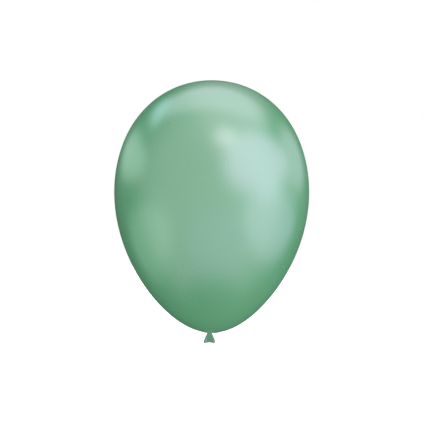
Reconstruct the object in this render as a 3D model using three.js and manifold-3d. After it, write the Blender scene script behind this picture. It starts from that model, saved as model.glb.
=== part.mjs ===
// A tied latex balloon, upright: an egg-shaped envelope, the gathered neck in its navel, the overhand knot,
// and the tail below the knot, which opens to a flattened mouth with a rolled lip.
// Millimetres, +Z up. The origin is the pinch in the film just under the knot, where a ribbon is tied.

import * as THREE from 'three';
import { mergeVertices } from 'three/addons/utils/BufferGeometryUtils.js';
import Module from 'manifold-3d';

const wasm = await Module();
wasm.setup();

// ---- driving dimensions ----

const BODY_DIAMETER = 280; // a 28 cm (11 inch) balloon at its nominal size
const BODY_HEIGHT = 1.296 * BODY_DIAMETER; // crown to the bottom of the egg
const EGG_BOTTOM = -0.2; // the egg's own lowest point, which lies inside the navel
const EGG_TAPER = [1, 0.129, -0.04, 0.045]; // half width over a plain ellipse's, as a cubic in height
const AXIS_OFFSET = 3.2; // the egg's axis stands this far to the right of the tied neck
const OFFSET_FADE = [5, 12]; // radii between which the rings move from the neck's axis to the egg's
const FILM = 0.05; // stretched film of the envelope
const THICK_FILM = 0.3; // unstretched film of the neck and the tail
const GAP = 0.35; // clearance between pieces

const NECK_RADIUS = 12; // the envelope's film is gathered inside this radius
const RIM_RADIUS = 7.6; // lowest ring of the navel
const RIM_HEIGHT = -0.05;
const CUP_RADIUS = 5.0; // the navel's cup around the knot
const GATHER_RADIUS = 1.2; // the film where it is bunched on top of the knot
const NECK_PLEATS = 8;
const PLEAT_DEPTH = 0.28;
const PLEAT_FADE = [1.4, 3.5]; // radii between which the bunched film opens into pleats

const KNOT_HALF_HEIGHT = 2.6;
const KNOT_CENTRE = 4.3; // height of the knot's middle, and of the two sway axes
const KNOT_CORE = [2.9, 2.6, KNOT_HALF_HEIGHT]; // half sizes
const KNOT_WRAP_RADIUS = 2.45; // centre line of the loop that wraps the knot
const KNOT_WRAP_DEPTH = 0.94; // the loop's depth over its width
const KNOT_STRAND = 2.4; // thickness of that loop
const KNOT_TILT = THREE.MathUtils.degToRad(22);

const PINCH_HEIGHT = -0.3; // height of the pinch's middle, and of the tail's two axes
const PINCH_WIDTH = 5.1;
const PINCH_DEPTH = 3.2;

const TAIL_START = 0.12; // where the flare's film begins, as a share of the way from the pinch to the mouth
const TAIL_WIDTH = 16.8; // over the rolled lip
const TAIL_BELL = 1.6; // how much faster than a cone the tail widens under the pinch
const TAIL_MIDDLE = -14.0; // lowest point of the lip at the middle of the mouth
const TAIL_CORNER = -15.1; // lowest point of the lip at the mouth's two corners
const TAIL_ROLLS = [2.0, 1.45, 2.4]; // radius of the rolls along both edges: at the pinch, halfway, at the mouth
const TAIL_WALLS = [1.9, 0.95, 1.85]; // half depth of the flat panel between the rolls, at the same three places
const LIP_DIAMETER = 1.6;

const ENVELOPE_SEGMENTS = 56;
const CROWN_RINGS = 11; // above the widest ring
const BELLY_RINGS = 15; // below it
const NECK_SEGMENTS = 48;
const NECK_STEPS = 15;
const KNOT_SEGMENTS = [28, 16];
const WRAP_SEGMENTS = [12, 36];
const STEM_SEGMENTS = 24;
const STEM_RINGS = 14;
const TAIL_SEGMENTS = 48;
const TAIL_RINGS = 8;
const LIP_SEGMENTS = 8;

// ---- colours ----

const FILM_COLOUR = '#80b096';
const THICK_FILM_COLOUR = '#5c9673';
const LIP_COLOUR = '#4b7c60';

const pearlFilm = () => new THREE.MeshStandardMaterial({ color: FILM_COLOUR, roughness: 0.3, metalness: 0.65 });
const gatheredFilm = () =>
  new THREE.MeshStandardMaterial({ color: THICK_FILM_COLOUR, roughness: 0.38, metalness: 0.5 });
const rolledFilm = () => new THREE.MeshStandardMaterial({ color: LIP_COLOUR, roughness: 0.42, metalness: 0.4 });

// ---- geometry helpers ----

const { cos, sin, sqrt, abs, hypot, max, sign, PI } = Math;
const { smoothstep, lerp } = THREE.MathUtils;

// A lathe with each point of its profile put where place(angle, step) says: around +Z, and not always round.
function shapedLathe(profileLength, segments, place) {
  const profile = Array.from({ length: profileLength }, (_, step) => new THREE.Vector2(1, step));
  const geometry = new THREE.LatheGeometry(profile, segments);
  const { position } = geometry.attributes;
  for (let turn = 0; turn <= segments; turn++) {
    const angle = ((turn % segments) / segments) * 2 * PI;
    for (let step = 0; step < profileLength; step++) {
      const point = place(angle, step);
      position.setXYZ(turn * profileLength + step, point.x, point.y, point.z);
    }
  }
  return geometry;
}

// The same curve moved sideways by distance(step) along its left-hand normal.
function offsetCurve(points, distance) {
  return points.map((point, step) => {
    const before = points[Math.max(step - 1, 0)];
    const after = points[Math.min(step + 1, points.length - 1)];
    const along = after.clone().sub(before).normalize();
    return new THREE.Vector2(point.x - along.y * distance(step), point.y + along.x * distance(step));
  });
}

// One closed solid with shared vertices, ready for a boolean.
function solidOf(geometry) {
  const bare = geometry.clone();
  bare.deleteAttribute('normal');
  bare.deleteAttribute('uv');
  const merged = mergeVertices(bare);
  const triangles = [];
  for (let i = 0; i < merged.index.count; i += 3) {
    const corners = [0, 1, 2].map((k) => merged.index.getX(i + k));
    if (new Set(corners).size === 3) triangles.push(...corners);
  }
  const mesh = new wasm.Mesh({
    numProp: 3,
    vertProperties: new Float32Array(merged.attributes.position.array),
    triVerts: new Uint32Array(triangles),
  });
  return new wasm.Manifold(mesh);
}

function geometryOf(solid) {
  const mesh = solid.getMesh();
  const geometry = new THREE.BufferGeometry();
  geometry.setAttribute('position', new THREE.BufferAttribute(mesh.vertProperties, 3));
  geometry.setIndex(new THREE.BufferAttribute(mesh.triVerts, 1));
  geometry.computeVertexNormals();
  return geometry;
}

function named(name, geometry, material) {
  const mesh = new THREE.Mesh(geometry, material);
  mesh.name = name;
  return mesh;
}

// ---- the egg ----

// Half width of an egg of no particular size at a latitude, -90 degrees at its bottom and 90 at its crown.
function eggHalfWidth(latitude) {
  const height = sin(latitude);
  return cos(latitude) * EGG_TAPER.reduce((sum, factor, power) => sum + factor * height ** power, 0);
}

// The latitude between two others where test(latitude) turns from true to false.
function turningLatitude(low, high, test) {
  for (let halving = 0; halving < 40; halving++) {
    const middle = (low + high) / 2;
    if (test(middle)) low = middle;
    else high = middle;
  }
  return low;
}

const widens = (latitude) => eggHalfWidth(latitude + 1e-4) > eggHalfWidth(latitude - 1e-4);
const WIDEST_LATITUDE = turningLatitude(-PI / 4, PI / 4, widens);
const EGG_SCALE = BODY_DIAMETER / 2 / eggHalfWidth(WIDEST_LATITUDE);

// Radius and height on the egg.
function eggPoint(latitude) {
  const height = EGG_BOTTOM + (BODY_HEIGHT / 2) * (1 + sin(latitude));
  return new THREE.Vector2(EGG_SCALE * eggHalfWidth(latitude), height);
}

// The latitude near the egg's bottom where its radius is the one asked for.
const latitudeAtRadius = (radius) =>
  turningLatitude(-PI / 2, -PI / 4, (latitude) => eggPoint(latitude).x < radius);

// The egg's height near its bottom, at a distance from its axis.
const bottomHeight = (distance) => eggPoint(latitudeAtRadius(distance)).y;

// Moves a ring of the given radius from the neck's axis to the egg's axis.
const axisShift = (radius) => AXIS_OFFSET * smoothstep(radius, ...OFFSET_FADE);

// ---- envelope: the blown-up film, open at the neck ----

function envelope() {
  const lowest = latitudeAtRadius(NECK_RADIUS + GAP);
  const spread = (from, to, rings) => Array.from({ length: rings }, (_, ring) => lerp(from, to, ring / rings));
  const latitudes = [
    ...spread(PI / 2, WIDEST_LATITUDE, CROWN_RINGS),
    ...spread(WIDEST_LATITUDE, lowest, BELLY_RINGS),
    lowest,
  ];
  const outer = latitudes.map(eggPoint);
  outer[0].x = 0;
  const inner = offsetCurve(outer, () => -FILM).reverse();
  inner.at(-1).x = 0;
  const profile = [...outer, ...inner].reverse();
  const place = (angle, step) => {
    const { x: radius, y: height } = profile[step];
    return new THREE.Vector3(radius * cos(angle) + AXIS_OFFSET, radius * sin(angle), height);
  };
  return named('envelope', shapedLathe(profile.length, ENVELOPE_SEGMENTS, place), pearlFilm());
}

// ---- neck: the pleated film that turns in over the navel's rim and gathers above the knot ----

// The smooth film from the gather, over the top of the cup and down its wall, to the envelope's edge.
function neckOutline() {
  const cup = KNOT_CENTRE;
  const edge = eggPoint(latitudeAtRadius(NECK_RADIUS));
  const outline = new THREE.SplineCurve([
    new THREE.Vector2(GATHER_RADIUS, cup + KNOT_HALF_HEIGHT + GAP),
    new THREE.Vector2(1.25 * GATHER_RADIUS, cup + 0.74 * CUP_RADIUS),
    new THREE.Vector2(0.54 * CUP_RADIUS, cup + 0.86 * CUP_RADIUS),
    new THREE.Vector2(0.84 * CUP_RADIUS, cup + 0.56 * CUP_RADIUS),
    new THREE.Vector2(CUP_RADIUS, cup),
    new THREE.Vector2(lerp(CUP_RADIUS, RIM_RADIUS, 0.2), cup * 0.39),
    new THREE.Vector2(lerp(CUP_RADIUS, RIM_RADIUS, 0.5), cup * 0.1),
    new THREE.Vector2(RIM_RADIUS, RIM_HEIGHT),
    new THREE.Vector2(lerp(RIM_RADIUS, NECK_RADIUS, 0.45), lerp(RIM_HEIGHT, edge.y, 0.4)),
    edge,
  ]);
  return outline.getPoints(NECK_STEPS);
}

function neck() {
  const outside = neckOutline();
  const pleats = outside.map(({ x: radius }) => {
    const inward = 1 - smoothstep(radius, RIM_RADIUS, NECK_RADIUS);
    return PLEAT_DEPTH * inward * smoothstep(radius, ...PLEAT_FADE);
  });
  const place = (angle, step) => {
    const fold = cos(NECK_PLEATS * angle);
    const folded = offsetCurve(outside, (k) => pleats[k] * fold);
    const inside = offsetCurve(folded, () => THICK_FILM).reverse();
    const underside = new THREE.Vector2(0, outside[0].y);
    const top = new THREE.Vector2(0, inside.at(-1).y);
    const { x: radius, y: height } = [underside, ...folded, ...inside, top][step];
    const ring = [outside[0], ...outside, ...outside.toReversed(), outside[0]][step].x;
    const x = radius * cos(angle) + axisShift(ring);
    const y = radius * sin(angle);
    const tilt = bottomHeight(hypot(x - AXIS_OFFSET, y)) - bottomHeight(radius);
    return new THREE.Vector3(x, y, height + tilt);
  };
  return named('neck', shapedLathe(2 * outside.length + 2, NECK_SEGMENTS, place), gatheredFilm());
}

// ---- knot: a tight core with one slanting loop around it ----

function knot() {
  const core = new THREE.SphereGeometry(1, ...KNOT_SEGMENTS);
  core.scale(...KNOT_CORE);
  const loop = new THREE.TorusGeometry(KNOT_WRAP_RADIUS, KNOT_STRAND / 2, ...WRAP_SEGMENTS);
  loop.scale(1, KNOT_WRAP_DEPTH, 1);
  loop.rotateY(KNOT_TILT);
  const knotted = geometryOf(solidOf(core).add(solidOf(loop)));
  knotted.translate(0, 0, KNOT_CENTRE);
  return named('knot', knotted, gatheredFilm());
}

// ---- tail stem: the bunched film of the pinch, round about the axis that the tail flaps on ----

function tailStem() {
  const place = (angle, step) => {
    const turn = (PI * step) / STEM_RINGS;
    const across = (-PINCH_WIDTH / 2) * cos(turn);
    const bulge = (PINCH_DEPTH / 2) * sin(turn);
    return new THREE.Vector3(across, bulge * cos(angle), PINCH_HEIGHT + bulge * sin(angle));
  };
  return named('tail_stem', shapedLathe(STEM_RINGS + 1, STEM_SEGMENTS, place), gatheredFilm());
}

// ---- tail: a flattened bell of film, drawn as a section at each height ----

// A smooth curve through the values at the pinch, halfway down and at the mouth.
const alongTail = ([pinch, halfway, mouth], share) =>
  pinch * (1 - share) * (1 - 2 * share) + halfway * 4 * share * (1 - share) + mouth * share * (2 * share - 1);

// Half width of the tail's film at a share of the way from the pinch, 0, to the mouth, 1.
const tailHalfWidth = (share) => lerp(PINCH_WIDTH, TAIL_WIDTH, 1 - (1 - share) ** TAIL_BELL) / 2;

// Height of the lip's centre line: lowest at the two corners, with a soft notch in the middle of each wall.
const mouthHeight = (angle) =>
  lerp(TAIL_MIDDLE, TAIL_CORNER, 1 - (1 - abs(cos(angle))) ** 2) + LIP_DIAMETER / 2;

// A point of the section, inset from the film's outer face: a flat panel with a roll along each edge.
function tailPoint(angle, share, inset) {
  const halfWidth = tailHalfWidth(share);
  const roll = alongTail(TAIL_ROLLS, share);
  const wall = alongTail(TAIL_WALLS, share);
  const across = halfWidth * cos(angle);
  const fromCrest = abs(across) - (halfWidth - roll);
  const rounded = sqrt(max(roll ** 2 - max(fromCrest, 0) ** 2, 0));
  const flattened = lerp(wall, roll, smoothstep(fromCrest, -roll, 0));
  const depth = fromCrest > 0 ? rounded : flattened;
  const kept = 1 - inset / hypot(max(fromCrest, 0), depth);
  const x = fromCrest > 0 ? (halfWidth - roll + fromCrest * kept) * sign(across) : across;
  return new THREE.Vector3(x, depth * kept * sign(sin(angle)), lerp(PINCH_HEIGHT, mouthHeight(angle), share));
}

function tailFlare() {
  const clear = LIP_DIAMETER / 2 + GAP;
  const last = 1 - clear / (PINCH_HEIGHT - TAIL_MIDDLE);
  const place = (angle, step) => {
    const outside = step <= TAIL_RINGS;
    const ring = outside ? TAIL_RINGS - step : step - TAIL_RINGS - 1;
    return tailPoint(angle, lerp(TAIL_START, last, ring / TAIL_RINGS), outside ? 0 : THICK_FILM);
  };
  const closed = (angle, step) => place(angle, step % (2 * TAIL_RINGS + 2));
  return named('tail_flare', shapedLathe(2 * TAIL_RINGS + 3, TAIL_SEGMENTS, closed), gatheredFilm());
}

// ---- rolled lip: the bead around the mouth ----

function rolledLip() {
  const radius = LIP_DIAMETER / 2;
  const centre = (angle) => tailPoint(angle, 1, radius);
  const reach = PI / TAIL_SEGMENTS;
  const place = (angle, step) => {
    const turn = (step / LIP_SEGMENTS) * 2 * PI;
    const along = centre(angle + reach).sub(centre(angle - reach)).normalize();
    const out = new THREE.Vector3(along.y, -along.x, 0).normalize();
    const up = new THREE.Vector3().crossVectors(out, along);
    const middle = centre(angle);
    return middle.addScaledVector(out, radius * cos(turn)).addScaledVector(up, radius * sin(turn));
  };
  return named('rolled_lip', shapedLathe(LIP_SEGMENTS + 1, TAIL_SEGMENTS, place), rolledFilm());
}

const balloon = new THREE.Group();
balloon.add(envelope(), neck(), knot(), tailStem(), tailFlare(), rolledLip());

export default balloon;
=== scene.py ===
# Looks of the tied latex balloon: pearl green film, pleated navel, overhand knot,
# pinched tail and rolled lip.
# Metres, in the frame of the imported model: +Z up, the pinch under the knot at the origin.

import math

import bmesh
import bpy
import numpy as np
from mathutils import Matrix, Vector, noise


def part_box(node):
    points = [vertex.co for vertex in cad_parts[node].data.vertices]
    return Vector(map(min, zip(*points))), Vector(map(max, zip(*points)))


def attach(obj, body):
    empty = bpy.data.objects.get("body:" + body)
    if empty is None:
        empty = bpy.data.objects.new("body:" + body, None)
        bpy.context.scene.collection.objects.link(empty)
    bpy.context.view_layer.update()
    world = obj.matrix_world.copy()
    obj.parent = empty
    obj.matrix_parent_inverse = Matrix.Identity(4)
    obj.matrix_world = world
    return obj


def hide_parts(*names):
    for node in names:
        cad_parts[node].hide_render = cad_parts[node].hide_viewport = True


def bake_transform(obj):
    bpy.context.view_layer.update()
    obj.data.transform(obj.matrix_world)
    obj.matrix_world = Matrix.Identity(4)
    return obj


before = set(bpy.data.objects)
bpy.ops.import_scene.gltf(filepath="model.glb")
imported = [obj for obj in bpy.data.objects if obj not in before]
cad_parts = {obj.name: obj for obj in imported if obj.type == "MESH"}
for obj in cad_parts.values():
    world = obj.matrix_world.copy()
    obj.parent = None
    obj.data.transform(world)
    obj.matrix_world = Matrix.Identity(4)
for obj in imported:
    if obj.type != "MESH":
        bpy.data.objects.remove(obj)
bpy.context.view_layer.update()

MM = 0.001

# ---- places and sizes, from the frame ----

envelope_low, envelope_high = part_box("envelope")
knot_low, knot_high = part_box("knot")
stem_low, stem_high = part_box("tail_stem")
lip_low, lip_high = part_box("rolled_lip")

EGG_RADIUS = (envelope_high.x - envelope_low.x) / 2
EGG_AXIS_X = (envelope_high.x + envelope_low.x) / 2
EGG_BOTTOM = -0.2 * MM  # the egg's own lowest point, which lies inside the navel
EGG_HEIGHT = envelope_high.z - EGG_BOTTOM
EGG_TAPER = (1, 0.129, -0.04, 0.045)  # half width over a plain ellipse's, as a cubic in height
OFFSET_FADE = (5 * MM, 12 * MM)  # radii where rings move from the neck's axis to the egg's

NECK_RADIUS = 12 * MM  # inside this the blown film has no slow unevenness
NECK_TOP = 12 * MM  # the neck's rings lie below this height
RIM_RADIUS = 7.6 * MM  # lowest ring of the navel
RIM_HEIGHT = -0.1 * MM
CUP_RADIUS = 5.0 * MM  # the navel's cup around the knot
PLEAT_DEPTH = 0.34 * MM
KNOT_CENTRE = (knot_low + knot_high) / 2
KNOT_HALF = (knot_high - knot_low) / 2

PINCH_HALF = (stem_high - stem_low) / 2
PINCH_Z = (stem_high.z + stem_low.z) / 2
TAIL_WIDTH = lip_high.x - lip_low.x
TAIL_BELL = 1.6  # how much faster than a cone the tail widens under the pinch
TAIL_CORNER_Z = lip_low.z
TAIL_MIDDLE_Z = lip_low.z + 1.1 * MM  # the mouth arches up between its two corners
LIP_RADIUS = 0.8 * MM
MOUTH_ROLL = (lip_high.y - lip_low.y) / 2

# Radius of the roll along each edge of the tail, and half depth of the flat panel between
# the rolls: at the pinch, halfway down and at the mouth.
TAIL_ROLLS = (PINCH_HALF.y, 1.45 * MM, MOUTH_ROLL)
TAIL_WALLS = (0.95 * PINCH_HALF.y, 0.70 * MM, 0.77 * MOUTH_ROLL)

FILM = 0.15 * MM
THICK_FILM = 0.3 * MM


# ---- small maths ----

def smoothstep(value, low, high):
    t = np.clip((value - low) / (high - low), 0, 1)
    return t * t * (3 - 2 * t)


def mix(a, b, share):
    return a + (b - a) * share


def bezier(start, first, second, end, count):
    """Points along a cubic Bezier, from start and leaving out the end."""
    t = np.arange(count)[:, None] / count
    s = 1 - t
    corners = [np.array(p, float) for p in (start, first, second, end)]
    return (s ** 3 * corners[0] + 3 * s * s * t * corners[1] + 3 * s * t * t * corners[2]
            + t ** 3 * corners[3])


def egg_half_width(height):
    """Half width of an egg of no particular size, at heights from -1 to 1."""
    taper = sum(factor * height ** power for power, factor in enumerate(EGG_TAPER))
    return np.sqrt(np.clip(1 - height ** 2, 0, None)) * taper


EGG_SCALE = EGG_RADIUS / egg_half_width(np.linspace(-1, 1, 20001)).max()


def egg_points(latitudes):
    """(radius, height) rows on the egg, for latitudes from its bottom, -pi/2, to its crown."""
    height = np.sin(latitudes)
    radius = EGG_SCALE * egg_half_width(height)
    return np.column_stack([radius, EGG_BOTTOM + EGG_HEIGHT / 2 * (1 + height)])


BOTTOM_POINTS = egg_points(np.linspace(-math.pi / 2, -math.pi / 4, 2000))


def bottom_height(distance):
    """Height of the egg near its bottom, at a distance from its axis."""
    return np.interp(distance, BOTTOM_POINTS[:, 0], BOTTOM_POINTS[:, 1])


def profile_normals(profile):
    """Unit normals of a profile that runs from the crown down, pointing away from the gas."""
    along = np.gradient(profile, axis=0)
    normal = np.column_stack([-along[:, 1], along[:, 0]])
    return normal / np.linalg.norm(normal, axis=1)[:, None]


# ---- meshes ----

def shade_smooth(mesh):
    for polygon in mesh.polygons:
        polygon.use_smooth = True


def mesh_object(name, vertices, faces, material):
    mesh = bpy.data.meshes.new(name)
    mesh.from_pydata([tuple(v) for v in vertices], [], faces)
    mesh.validate()
    shade_smooth(mesh)
    mesh.materials.append(material)
    piece = bpy.data.objects.new(name, mesh)
    bpy.context.scene.collection.objects.link(piece)
    return piece


def grid_faces(rows, columns, start=0, flip=False):
    """Quads of a grid of rows that each close on themselves."""
    faces = []
    for row in range(rows - 1):
        for column in range(columns):
            after = (column + 1) % columns
            quad = [start + row * columns + column, start + row * columns + after,
                    start + (row + 1) * columns + after, start + (row + 1) * columns + column]
            faces.append(tuple(reversed(quad)) if flip else tuple(quad))
    return faces


def face_outwards(piece):
    """Turns the faces out, and keeps the square-cut edges of a film crisp."""
    work = bmesh.new()
    work.from_mesh(piece.data)
    bmesh.ops.remove_doubles(work, verts=work.verts, dist=1e-7)
    bmesh.ops.recalc_face_normals(work, faces=work.faces)
    work.to_mesh(piece.data)
    work.free()
    piece.data.set_sharp_from_angle(angle=math.radians(60))


def shell(name, outer, inner, material, capped=False):
    """A film between two grids of the same shape, (rows, columns, 3). The first row of each
    closes to a point if capped. The other edges are joined across the film's thickness."""
    rows, columns, _ = outer.shape
    vertices = np.concatenate([outer.reshape(-1, 3), inner.reshape(-1, 3)])
    second = rows * columns
    faces = grid_faces(rows, columns) + grid_faces(rows, columns, second, flip=True)
    edge_rows = [rows - 1] if capped else [0, rows - 1]
    for row in edge_rows:
        for column in range(columns):
            after = (column + 1) % columns
            quad = [row * columns + column, row * columns + after,
                    second + row * columns + after, second + row * columns + column]
            faces.append(tuple(quad) if row == 0 else tuple(reversed(quad)))
    if capped:
        ends = np.array([outer[0].mean(0), inner[0].mean(0)])
        for grid, tip in ((0, len(vertices)), (second, len(vertices) + 1)):
            for column in range(columns):
                triangle = (tip, grid + (column + 1) % columns, grid + column)
                faces.append(triangle if grid == 0 else tuple(reversed(triangle)))
        vertices = np.concatenate([vertices, ends])
    piece = mesh_object(name, vertices, faces, material)
    face_outwards(piece)
    return piece


def sweep(name, sections, material, closed=False):
    """A tube through rings of points, (rings, points, 3), closed on itself or flat-ended."""
    rows, columns, _ = sections.shape
    vertices = sections.reshape(-1, 3)
    faces = grid_faces(rows, columns)
    if closed:
        last = (rows - 1) * columns
        for column in range(columns):
            after = (column + 1) % columns
            faces.append((last + column, last + after, after, column))
    else:
        faces.append(tuple(reversed(range(columns))))
        faces.append(tuple((rows - 1) * columns + column for column in range(columns)))
    piece = mesh_object(name, vertices, faces, material)
    face_outwards(piece)
    return piece


# ---- materials ----

def principled(name, **sockets):
    material = bpy.data.materials.new(name)
    material.use_nodes = True
    shader = material.node_tree.nodes["Principled BSDF"]
    for socket, value in sockets.items():
        shader.inputs[socket.replace("_", " ")].default_value = value
    return material, shader


def noise_texture(tree, scale, **sockets):
    """A noise texture in the object's own space, in metres."""
    place = tree.nodes.new("ShaderNodeTexCoord")
    node = tree.nodes.new("ShaderNodeTexNoise")
    tree.links.new(place.outputs["Object"], node.inputs["Vector"])
    node.inputs["Scale"].default_value = scale
    for socket, value in sockets.items():
        node.inputs[socket].default_value = value
    return node


def ranged(tree, source, from_low, from_high, to_low, to_high):
    node = tree.nodes.new("ShaderNodeMapRange")
    tree.links.new(source, node.inputs["Value"])
    node.inputs["From Min"].default_value = from_low
    node.inputs["From Max"].default_value = from_high
    node.inputs["To Min"].default_value = to_low
    node.inputs["To Max"].default_value = to_high
    return node.outputs["Result"]


def eased(tree, source, from_low, from_high, to_low, to_high):
    result = ranged(tree, source, from_low, from_high, to_low, to_high)
    result.node.interpolation_type = "SMOOTHSTEP"
    return result


def product(tree, a, b):
    node = tree.nodes.new("ShaderNodeMath")
    node.operation = "MULTIPLY"
    tree.links.new(a, node.inputs[0])
    tree.links.new(b, node.inputs[1])
    return node.outputs[0]


def mixed(tree, share, a, b):
    node = tree.nodes.new("ShaderNodeMix")
    node.data_type = "RGBA"
    tree.links.new(share, node.inputs["Factor"])
    colour_a, colour_b = node.inputs[6], node.inputs[7]
    for socket, value in ((colour_a, a), (colour_b, b)):
        if isinstance(value, bpy.types.NodeSocket):
            tree.links.new(value, socket)
        else:
            socket.default_value = (*value, 1)
    return node.outputs[2]


CLOUD_SCALE = 11  # noise cells to a metre, as in GRAIN_SCALE
CLOUD_RANGE = (0.2, 0.8)  # of the noise, from the deepest colour to the palest
GRAIN_SCALE = 1500
GRAIN_RANGE = (0.55, 0.75)  # of the noise, from bare film to a full fleck
GRAIN_SHARE = 0.3  # of the pearl colour in a full fleck
ROUGHNESS_SWING = 0.015


def latex(name, colour, roughness, ior):
    """Pearl latex: slow clouds in the pigment and a fine mica grain, under its own soft gloss."""
    material, shader = principled(name, IOR=ior)
    tree = material.node_tree
    clouds = noise_texture(tree, CLOUD_SCALE, Detail=2, Roughness=0.4).outputs["Fac"]
    grain = noise_texture(tree, GRAIN_SCALE, Detail=2).outputs["Fac"]
    deep = tuple(0.95 * channel for channel in colour)
    pearl = tuple(1.2 * channel + 0.01 for channel in colour)
    cloudy = mixed(tree, eased(tree, clouds, *CLOUD_RANGE, 0, 1), deep, colour)
    flecks = ranged(tree, grain, *GRAIN_RANGE, 0, GRAIN_SHARE)
    flecked = mixed(tree, flecks, cloudy, pearl)
    tree.links.new(flecked, shader.inputs["Base Color"])
    low = roughness - ROUGHNESS_SWING
    high = roughness + ROUGHNESS_SWING
    tree.links.new(eased(tree, clouds, *CLOUD_RANGE, low, high), shader.inputs["Roughness"])
    return material


FILM_COLOUR = (0.080, 0.279, 0.138)
THICK_COLOUR = (0.049, 0.201, 0.089)
LIP_COLOUR = (0.064, 0.173, 0.089)

film_latex = latex("film_latex", FILM_COLOUR, roughness=0.28, ior=2.3)
thick_latex = latex("thick_latex", THICK_COLOUR, roughness=0.17, ior=1.9)
lip_latex = latex("lip_latex", LIP_COLOUR, roughness=0.34, ior=1.9)


# ---- envelope and navel ----

AROUND = 240
TURNS = np.arange(AROUND) / AROUND * 2 * math.pi
EGG_LIMIT = 12.5 * MM  # the egg's own curve runs down to this radius


def film_profile():
    """The film from the crown to the lowest ring of the navel's rim."""
    latitudes = np.linspace(math.pi / 2, -math.pi / 2, 4001)[1:]
    radius = egg_points(latitudes)[:, 0]
    lowest = latitudes[(latitudes > 0) | (radius > EGG_LIMIT)][-1]
    egg = egg_points(np.linspace(math.pi / 2, lowest, 181)[1:])
    end = egg[-1]
    slope = (egg[-1] - egg[-2]) / np.linalg.norm(egg[-1] - egg[-2])
    reach = 2.2 * MM
    rim = np.array([RIM_RADIUS, RIM_HEIGHT])
    turn = bezier(end, end + reach * slope, rim + np.array([reach, 0]), rim, 12)
    return np.concatenate([egg[:-1], turn, [rim]])


def navel_profile():
    """The film from the rim up the cup around the knot, to where it gathers on top of the knot."""
    cup = KNOT_CENTRE.z
    rim = (RIM_RADIUS, RIM_HEIGHT)
    wall = (CUP_RADIUS, cup)
    top = (2.6 * MM, cup + 0.88 * CUP_RADIUS)
    gather = (1.3 * MM, knot_high.z - 0.2 * MM)
    up = bezier(rim, (RIM_RADIUS - 2.0 * MM, RIM_HEIGHT), (CUP_RADIUS, cup - 2.6 * MM), wall, 22)
    over = bezier(wall, (CUP_RADIUS, cup + 2.2 * MM), (4.3 * MM, cup + 0.92 * CUP_RADIUS), top, 16)
    down = bezier(top, (1.7 * MM, top[1]), (1.3 * MM, top[1] - 0.6 * MM), gather, 10)
    return np.concatenate([up, over, down, [gather]])


def pleat(turn, radius):
    """How far the gathered film stands out of the smooth surface. It is deep inside the
    navel, and fades on top of the knot and a little way past the rim."""
    strength = PLEAT_DEPTH * (1 - smoothstep(radius, 0.75 * RIM_RADIUS, 2.2 * RIM_RADIUS))
    strength = strength * smoothstep(radius, 0.8 * MM, 3.5 * MM)
    wander = 0.5 * np.sin(3 * turn + 1.1)
    folds = 0.62 * np.cos(9 * turn + wander) + 0.38 * np.cos(14 * turn - 1.7 * wander + 0.6)
    return strength * folds


def unevenness(points):
    """Slow unevenness of the blown film, a fraction of a millimetre."""
    waves = [noise.noise(Vector(p) * 14) + 0.5 * noise.noise(Vector(p) * 31 + Vector((7, 3, 5)))
             for p in points.reshape(-1, 3)]
    return 0.16 * MM * np.array(waves).reshape(points.shape[:-1])


def turned(profile, lift):
    """Grid of points: the profile turned about the axis, moved out of the surface by lift,
    (rows, columns). Near the neck the rings slide over to its own axis, and lie as high as
    the egg does there."""
    normal = profile_normals(profile)
    radius = profile[:, 0][:, None] + normal[:, 0][:, None] * lift
    height = profile[:, 1][:, None] + normal[:, 1][:, None] * lift
    slide = EGG_AXIS_X * smoothstep(profile[:, 0], *OFFSET_FADE)[:, None]
    x = radius * np.cos(TURNS) + slide
    y = radius * np.sin(TURNS)
    tilt = bottom_height(np.hypot(x - EGG_AXIS_X, y)) - bottom_height(radius)
    on_neck = (profile[:, 0] < OFFSET_FADE[1]) & (profile[:, 1] < NECK_TOP)
    return np.stack([x, y, height + tilt * on_neck[:, None]], axis=-1)


def film_grids():
    """The film's outer and inner faces, from the crown over the rim and up the navel, and
    the row where the rim is."""
    egg = film_profile()
    profile = np.concatenate([egg, navel_profile()[1:]])
    radius, height = profile.T
    pleats = pleat(TURNS[None, :], radius[:, None]) * (height < EGG_HEIGHT / 2)[:, None]
    blown = smoothstep(radius, NECK_RADIUS, 4 * NECK_RADIUS)[:, None]
    uneven = unevenness(turned(profile, pleats)) * blown
    outer = turned(profile, pleats + uneven)
    inner = turned(profile, pleats + uneven - FILM)
    return outer, inner, len(egg) - 1


def make_film(outer, inner):
    piece = shell("balloon_film", outer, inner, film_latex, capped=True)
    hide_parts("envelope")
    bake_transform(piece)


def make_navel(outer, inner):
    piece = shell("navel_pleats", outer, inner, film_latex)
    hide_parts("neck")
    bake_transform(piece)


def make_envelope():
    outer, inner, rim = film_grids()
    make_film(outer[:rim + 1], inner[:rim + 1])
    make_navel(outer[rim:], inner[rim:])


# ---- knot ----

KNOT_STRAND = 1.2 * MM  # radius of the bunched film where it wraps the knot


def tube_rings(path, radii, creases, sides=28):
    """Creased rings along a path, turned as little as possible from one to the next."""
    path = np.array(path)
    along = np.gradient(path, axis=0)
    along /= np.linalg.norm(along, axis=1)[:, None]
    across = np.cross(along[0], (0.3, 0.5, 0.8))
    rings = []
    turns = np.arange(sides) / sides * 2 * math.pi
    for point, direction, radius in zip(path, along, radii):
        across = across - direction * (across @ direction)
        across /= np.linalg.norm(across)
        up = np.cross(direction, across)
        folds = creases * np.cos(5 * turns) + 0.6 * creases * np.cos(3 * turns + 1)
        width = radius * (1 + folds)
        sideways = np.outer(width * np.cos(turns), across)
        upwards = np.outer(width * np.sin(turns), up)
        rings.append(point + sideways + upwards)
    return np.array(rings)


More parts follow.
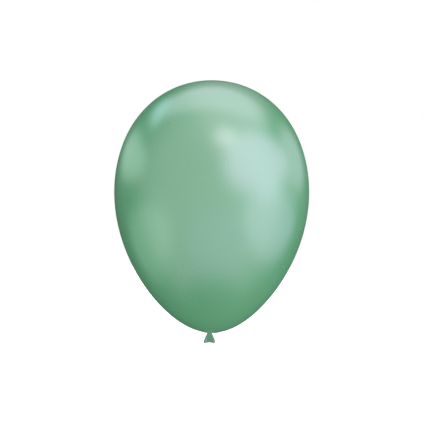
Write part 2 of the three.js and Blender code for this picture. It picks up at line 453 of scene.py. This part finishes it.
def knot_path():
    """The centre line of the strand: a little over once round the core, down and on a slant."""
    centre = np.array(KNOT_CENTRE)
    loop = KNOT_HALF.x - 1.25 * MM  # radius of the loop's centre line
    drop = 1.15 * MM  # from the knot's middle to each end of the loop
    slant = 0.35 * MM
    turns = np.linspace(0, 1, 90)
    angle = 2 * math.pi * (1.22 * turns - 0.10)
    height = mix(drop, -drop, turns) + slant * np.sin(angle)
    return centre + np.column_stack([loop * np.cos(angle), loop * 0.96 * np.sin(angle), height])


def apply_modifiers(piece):
    evaluated = piece.evaluated_get(bpy.context.evaluated_depsgraph_get())
    mesh = bpy.data.meshes.new_from_object(evaluated)
    piece.modifiers.clear()
    piece.data = mesh
    shade_smooth(mesh)


def make_knot_loop():
    """The strand that wraps the knot, slimmer at its two ends."""
    path = knot_path()
    along = np.linspace(0, 1, len(path))
    fullness = smoothstep(along, 0, 0.12) * (1 - smoothstep(along, 0.88, 1))
    radii = KNOT_STRAND * mix(0.55, 1, fullness)
    return sweep("overhand_knot", tube_rings(path, radii, creases=0.06), thick_latex)


def make_knot_core():
    """The bunched film inside the loop, from the gather down towards the pinch."""
    steps = 40
    height = np.linspace(knot_high.z + 0.5 * MM, knot_low.z - 0.1 * MM, steps)
    sideways = 0.25 * MM * np.sin(height * 700)
    path = np.column_stack([sideways, np.zeros(steps), height])
    bulge = np.sin(np.linspace(0.12, 0.92, steps) * math.pi)
    radii = mix(1.2, 2.35, bulge) * MM
    return sweep("knot_core", tube_rings(path, radii, creases=0.05), thick_latex)


def make_knot():
    loop = make_knot_loop()
    core = make_knot_core()
    with bpy.context.temp_override(active_object=loop, object=loop, selected_objects=[loop, core],
                                   selected_editable_objects=[loop, core]):
        bpy.ops.object.join()
    remesh = loop.modifiers.new("merge", "REMESH")
    remesh.mode = "VOXEL"
    remesh.voxel_size = 0.11 * MM
    soften = loop.modifiers.new("soften", "SMOOTH")
    soften.factor = 0.5
    soften.iterations = 4
    apply_modifiers(loop)
    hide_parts("knot")
    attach(loop, "knot")


# ---- pinch and tail ----

TAIL_SIDES = 144
TAIL_TURNS = (np.arange(TAIL_SIDES) + 0.5) / TAIL_SIDES * 2 * math.pi
TAIL_TUCK = 0.15 * MM  # how far the tail's top edge is drawn in to hide inside the pinch


def along_tail(values, share):
    """A smooth curve through the values at the pinch, halfway down and at the mouth."""
    pinch, halfway, mouth = values
    return (pinch * (1 - share) * (1 - 2 * share) + halfway * 4 * share * (1 - share)
            + mouth * share * (2 * share - 1))


def tail_folds(turn, share):
    """Creases that fan out of the pinch and fade towards the mouth."""
    fade = 1 - 0.9 * smoothstep(share, 0.0, 0.6)
    folds = 0.6 * np.cos(7 * turn + 0.8 * np.sin(2 * turn)) + 0.4 * np.cos(11 * turn + 0.9)
    return 0.24 * MM * fade * folds


def tail_section(turns, share, inset):
    """A ring of the tail, inset from its outer face, at a share of the way from the pinch, 0,
    to the mouth, 1: a flat panel with a roll along each edge."""
    half_width = mix(PINCH_HALF.x, TAIL_WIDTH / 2, 1 - (1 - share) ** TAIL_BELL)
    roll = along_tail(TAIL_ROLLS, share)
    wall = along_tail(TAIL_WALLS, share)
    across = half_width * np.cos(turns)
    from_crest = np.abs(across) - (half_width - roll)
    beyond = np.clip(from_crest, 0, None)
    rounded = np.sqrt(np.clip(roll ** 2 - beyond ** 2, 0, None))
    flattened = mix(wall, roll, smoothstep(from_crest, -roll, 0))
    depth = np.where(from_crest > 0, rounded, flattened)
    kept = 1 + (tail_folds(turns, share) - inset) / np.hypot(beyond, depth)
    x = np.sign(across) * (np.abs(across) - beyond + beyond * kept)
    y = np.sign(np.sin(turns)) * depth * kept
    notch = (1 - np.sqrt(np.cos(turns) ** 2 + 0.01)) ** 2
    mouth = mix(TAIL_CORNER_Z, TAIL_MIDDLE_Z, notch) + LIP_RADIUS
    return np.column_stack([x, y, mix(PINCH_Z, mouth, share)])


def make_tail():
    shares = np.linspace(0, 1, 60)
    tuck = TAIL_TUCK * (1 - smoothstep(shares, 0.0, 0.06))
    outer = np.array([tail_section(TAIL_TURNS, s, t) for s, t in zip(shares, tuck)])
    inner = np.array([tail_section(TAIL_TURNS, s, THICK_FILM) for s in shares])
    piece = shell("tail_film", outer, inner, thick_latex)
    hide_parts("tail_flare")
    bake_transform(piece)


def make_pinch():
    """The bunched film from inside the knot down to the pinch, and on into the tail's top."""
    top = knot_low.z + 1.0 * MM
    tucked = 0.8 * MM  # how far it runs on inside the tail
    rings = []
    for height in np.linspace(top, PINCH_Z - tucked, 40):
        share = min(1.0, (top - height) / (top - PINCH_Z))
        down_tail = max(0.0, (PINCH_Z - height) / (PINCH_Z - TAIL_CORNER_Z - LIP_RADIUS))
        inset = 0.35 * MM * smoothstep(PINCH_Z - height, 0, tucked)
        narrow = mix(0.72, 1.0, share ** 1.5)
        ring = tail_section(TAIL_TURNS, down_tail, inset)
        ring[:, 0] *= narrow
        ring[:, 1] *= narrow * mix(1.15, 1.0, share)
        ring[:, 2] = height
        rings.append(ring)
    piece = sweep("tail_pinch", np.array(rings), thick_latex)
    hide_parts("tail_stem")
    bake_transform(piece)


def make_lip():
    """The rolled bead: a slightly wavy roll of film, with a shallow seam inside the mouth."""
    count = 180
    turns = (np.arange(count) + 0.5) / count * 2 * math.pi
    centre = tail_section(turns, 1.0, LIP_RADIUS)
    along = np.roll(centre, -1, axis=0) - np.roll(centre, 1, axis=0)
    along /= np.linalg.norm(along, axis=1)[:, None]
    out = np.column_stack([along[:, 1], -along[:, 0], np.zeros(count)])
    out /= np.linalg.norm(out, axis=1)[:, None]
    up = np.cross(out, along)
    around = np.arange(24) / 24 * 2 * math.pi
    seam_at = 2.4  # angle around the bead, on its inner and upper side
    seam = np.exp(-((np.cos(around - seam_at) - 1) / 0.06) ** 2)
    radius = LIP_RADIUS * (1 - 0.10 * seam)
    wavy = 1 + 0.03 * np.sin(11 * turns + 0.5) + 0.02 * np.sin(23 * turns)
    rings = centre[:, None, :] + wavy[:, None, None] * (
        (radius * np.cos(around))[None, :, None] * out[:, None, :]
        + (radius * np.sin(around))[None, :, None] * up[:, None, :])
    piece = sweep("rolled_lip_bead", rings, lip_latex, closed=True)
    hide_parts("rolled_lip")
    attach(piece, "tail")


# ---- studio ----

LOOK_AT = Vector((EGG_AXIS_X - 0.3 * MM, 0, 0.1743))  # at the middle of the picture
FRAME_WIDTH = 0.6096  # of the view, at the balloon
LENS = 100
SENSOR = 36
LAMP_DISTANCE = 4.0
FLOOR_HALF = 8.0
FLOOR_Z = -0.28
FADE = 0.35  # share of a softbox's half size over which it fades, to each side of half bright
ROOM_LIGHT = 1.27  # from all round, before the slopes below
ROOM_SLOPES = (0.39, -0.50, 0.23)  # brighter from the right, from in front and from above
GLOSS_LIGHT = (0.73, 0.65, 0.76)  # what the gloss shows of the room in front of the balloon


def make_camera():
    data = bpy.data.cameras.new("camera")
    data.lens = LENS
    data.sensor_width = SENSOR
    camera = bpy.data.objects.new("camera", data)
    camera.location = LOOK_AT - Vector((0, FRAME_WIDTH * LENS / SENSOR, 0))
    camera.rotation_euler = (math.pi / 2, 0, 0)
    bpy.context.scene.collection.objects.link(camera)
    bpy.context.scene.camera = camera


def direction(azimuth, elevation):
    """Unit vector; azimuth 0 is towards the camera's place and 90 to its right, in degrees."""
    a, e = math.radians(azimuth), math.radians(elevation)
    return Vector((math.sin(a) * math.cos(e), -math.cos(a) * math.cos(e), math.sin(e)))


def fade_edge(data):
    """Lets a lamp fade to nothing at its border, in an oval, as the cloth of a softbox does."""
    data.use_nodes = True
    tree = data.node_tree
    place = tree.nodes.new("ShaderNodeNewGeometry")
    centred = tree.nodes.new("ShaderNodeVectorMath")
    centred.operation = "SUBTRACT"
    centred.inputs[1].default_value = (0.5, 0.5, 0)
    tree.links.new(place.outputs["Parametric"], centred.inputs[0])
    reach = tree.nodes.new("ShaderNodeVectorMath")
    reach.operation = "LENGTH"
    tree.links.new(centred.outputs["Vector"], reach.inputs[0])
    bright = eased(tree, reach.outputs["Value"], 0.5 * (1 - FADE) / (1 + FADE), 0.5, 1, 0)
    tree.links.new(bright, tree.nodes["Emission"].inputs["Strength"])


def softbox(name, azimuth, elevation, half_wide, half_high, radiance):
    """A lamp that reaches half_wide and half_high degrees to each side of its middle, as seen
    from the balloon, to where it is at half its brightness. It shows only in the gloss."""
    middle = Vector((EGG_AXIS_X, 0, EGG_HEIGHT / 2))
    data = bpy.data.lights.new(name, "AREA")
    data.shape = "RECTANGLE"
    data.size = (1 + FADE) * 2 * LAMP_DISTANCE * math.tan(math.radians(half_wide))
    data.size_y = (1 + FADE) * 2 * LAMP_DISTANCE * math.tan(math.radians(half_high))
    data.energy = math.pi * data.size * data.size_y
    data.color = radiance
    fade_edge(data)
    lamp = bpy.data.objects.new(name, data)
    towards = direction(azimuth, elevation)
    lamp.location = middle + towards * LAMP_DISTANCE
    lamp.rotation_euler = towards.to_track_quat("Z", "Y").to_euler()
    lamp.visible_camera = False
    lamp.visible_diffuse = False
    bpy.context.scene.collection.objects.link(lamp)


def background(tree, strength, colour):
    node = tree.nodes.new("ShaderNodeBackground")
    node.inputs["Color"].default_value = (*colour, 1)
    if strength is not None:
        tree.links.new(strength, node.inputs["Strength"])
    return node.outputs[0]


def either(tree, share, a, b):
    """One shader where share is 0 and the other where it is 1."""
    node = tree.nodes.new("ShaderNodeMixShader")
    tree.links.new(share, node.inputs["Fac"])
    tree.links.new(a, node.inputs[1])
    tree.links.new(b, node.inputs[2])
    return node.outputs[0]


def make_world():
    """White for the camera. The room lights the balloon from all round, a little more from the
    right, the front and above. In its gloss it is pale in front, and dark behind and below."""
    world = bpy.data.worlds.new("studio")
    world.use_nodes = True
    bpy.context.scene.world = world
    tree = world.node_tree
    tree.nodes.clear()
    place = tree.nodes.new("ShaderNodeTexCoord")
    parts = tree.nodes.new("ShaderNodeSeparateXYZ")
    tree.links.new(place.outputs["Generated"], parts.inputs[0])
    slope = tree.nodes.new("ShaderNodeVectorMath")
    slope.operation = "DOT_PRODUCT"
    slope.inputs[1].default_value = ROOM_SLOPES
    tree.links.new(place.outputs["Generated"], slope.inputs[0])
    around = ranged(tree, slope.outputs["Value"], -1, 1, ROOM_LIGHT - 1, ROOM_LIGHT + 1)
    front = eased(tree, parts.outputs["Y"], 0.34, -0.43, 0.0, 1.0)
    above_floor = eased(tree, parts.outputs["Z"], -0.97, -0.8, 0.0, 1.0)
    ahead = ranged(tree, product(tree, front, above_floor), 0, 1, 0.05, 1)
    path = tree.nodes.new("ShaderNodeLightPath")
    walls = background(tree, around, (1, 1, 1))
    seen_in_gloss = background(tree, ahead, GLOSS_LIGHT)
    room = either(tree, path.outputs["Is Glossy Ray"], walls, seen_in_gloss)
    seen = either(tree, path.outputs["Is Camera Ray"], room, background(tree, None, (1, 1, 1)))
    output = tree.nodes.new("ShaderNodeOutputWorld")
    tree.links.new(seen, output.inputs["Surface"])


def make_floor():
    """A pale floor well below the balloon, as bright as the backdrop, and open to a view from below."""
    material, shader = principled("pale_floor", Roughness=0.9)
    shader.inputs["Base Color"].default_value = (0.75, 0.75, 0.75, 1)
    shader.inputs["Emission Color"].default_value = (1, 1, 1, 1)
    shader.inputs["Emission Strength"].default_value = 0.4
    tree = material.node_tree
    side = tree.nodes.new("ShaderNodeNewGeometry")
    clear = tree.nodes.new("ShaderNodeBsdfTransparent")
    sided = either(tree, side.outputs["Backfacing"], shader.outputs[0], clear.outputs[0])
    tree.links.new(sided, tree.nodes["Material Output"].inputs["Surface"])
    signs = ((-1, -1), (1, -1), (1, 1), (-1, 1))
    corners = [(x * FLOOR_HALF, y * FLOOR_HALF, FLOOR_Z) for x, y in signs]
    floor = mesh_object("floor", corners, [(0, 1, 2, 3)], material)
    floor.visible_glossy = False
    floor.visible_diffuse = False
    floor.visible_shadow = False


def make_studio():
    """The room, the floor, and the lamps that place the highlights. The lamps were placed one
    by one. Their radiances started from a least-squares fit to the picture, and were rounded."""
    make_world()
    make_floor()
    softbox("key", 57, 22, 40, 24, (1.66, 1.36, 2.12))
    softbox("key_top", 21, 47, 11, 9, (2.12, 1.91, 2.17))
    softbox("overhead", 94, 75, 60, 30, (0.43, 0.25, 0.40))
    softbox("overhead_back", 171, 76, 42, 23, (1.26, 1.26, 1.51))
    softbox("right", 117, 16, 23, 15, (1.03, 0.96, 1.18))
    softbox("low_right", 78, -18, 39, 20, (0.95, 0.87, 1.30))
    softbox("left", -115, 17, 27, 11, (1.00, 1.27, 1.16))
    softbox("left_high", -124, 44, 18, 6.5, (0.73, 1.26, 1.40))
    softbox("low_left", -89, -25, 35, 18, (0.43, 0.62, 0.51))
    softbox("low_front", 10, -39, 35, 26, (0.14, 0.12, 0.32))
    bpy.context.scene.view_settings.view_transform = "Standard"


make_camera()
make_envelope()
make_knot()
make_pinch()
make_tail()
make_lip()
make_studio()
